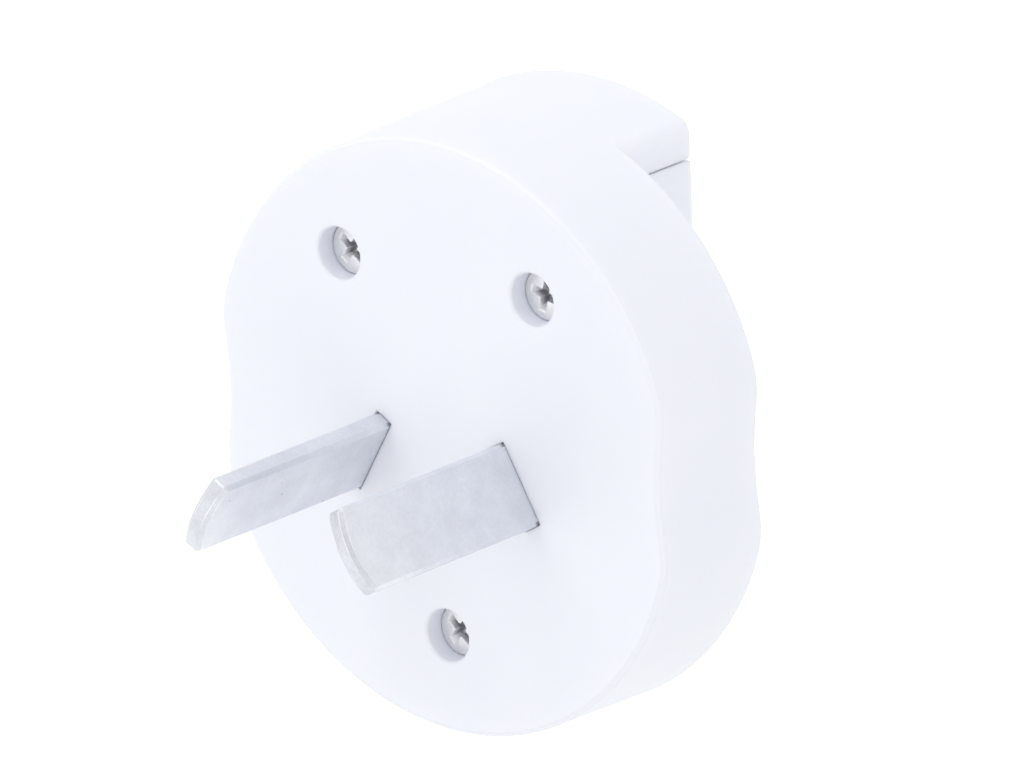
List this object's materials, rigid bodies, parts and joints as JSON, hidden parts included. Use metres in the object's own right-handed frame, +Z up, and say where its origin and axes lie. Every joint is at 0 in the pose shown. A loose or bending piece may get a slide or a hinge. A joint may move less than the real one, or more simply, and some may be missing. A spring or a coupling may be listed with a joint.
{
  "type": "plug adapter",
  "caption": "White plug head: a waisted disc with two slanted flat mains blades in front, three case screws, and a narrow slide-in contact block under a hood behind.",
  "frame": {"origin": "plug centre on the front face: the middle of the standard's pin places, between and below the two blades", "axes": "upright as plugged in: -Y out of the front face along the blades, +Z up through the hood side, +X to the right seen from the front"},
  "size_m": [0.0416, 0.0359, 0.0446],
  "materials": {
    "white_plastic": "satin moulded white, slightly cool",
    "inner_plastic": "matt moulded insulating plate",
    "nickel_blade": "satin nickel plate over brass, faintly mottled",
    "brass_strip": "bare rolled brass",
    "spring_bronze": "bare spring bronze",
    "screw_steel": "bright zinc or nickel plated steel"
  },
  "bodies": {
    "root": {"front_cover": "white_plastic", "rear_housing": "white_plastic", "contact_carrier": "inner_plastic", "left_blade": "nickel_blade", "right_blade": "nickel_blade", "left_link": "brass_strip", "right_link": "brass_strip", "left_contact": "spring_bronze", "right_contact": "spring_bronze", "left_rivet": "brass_strip", "right_rivet": "brass_strip", "screw_top_left": "screw_steel", "screw_top_right": "screw_steel", "screw_bottom": "screw_steel"}
  },
  "joints": []
}
